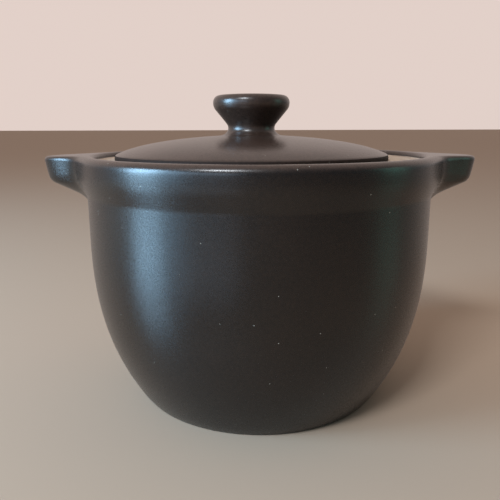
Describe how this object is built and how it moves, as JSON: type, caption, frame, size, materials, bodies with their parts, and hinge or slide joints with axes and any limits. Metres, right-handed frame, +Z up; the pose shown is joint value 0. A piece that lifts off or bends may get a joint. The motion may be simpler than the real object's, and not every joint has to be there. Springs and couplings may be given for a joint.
{
  "type": "casserole pot",
  "caption": "Deep round-bellied stoneware casserole with solid lug handles at its rim and a shallow domed lid, with a flared knob, that rests on a sunken seat.",
  "frame": {"origin": "on the pot's axis, in the plane that its foot ring stands on", "axes": "+X along the line through both lugs, +Z up the pot's axis"},
  "size_m": [0.2648, 0.2122, 0.1841],
  "materials": {
    "glaze": "dark brown-black satin glaze on fired stoneware"
  },
  "bodies": {
    "root": {"pot": "glaze", "lid": "glaze"}
  },
  "joints": []
}
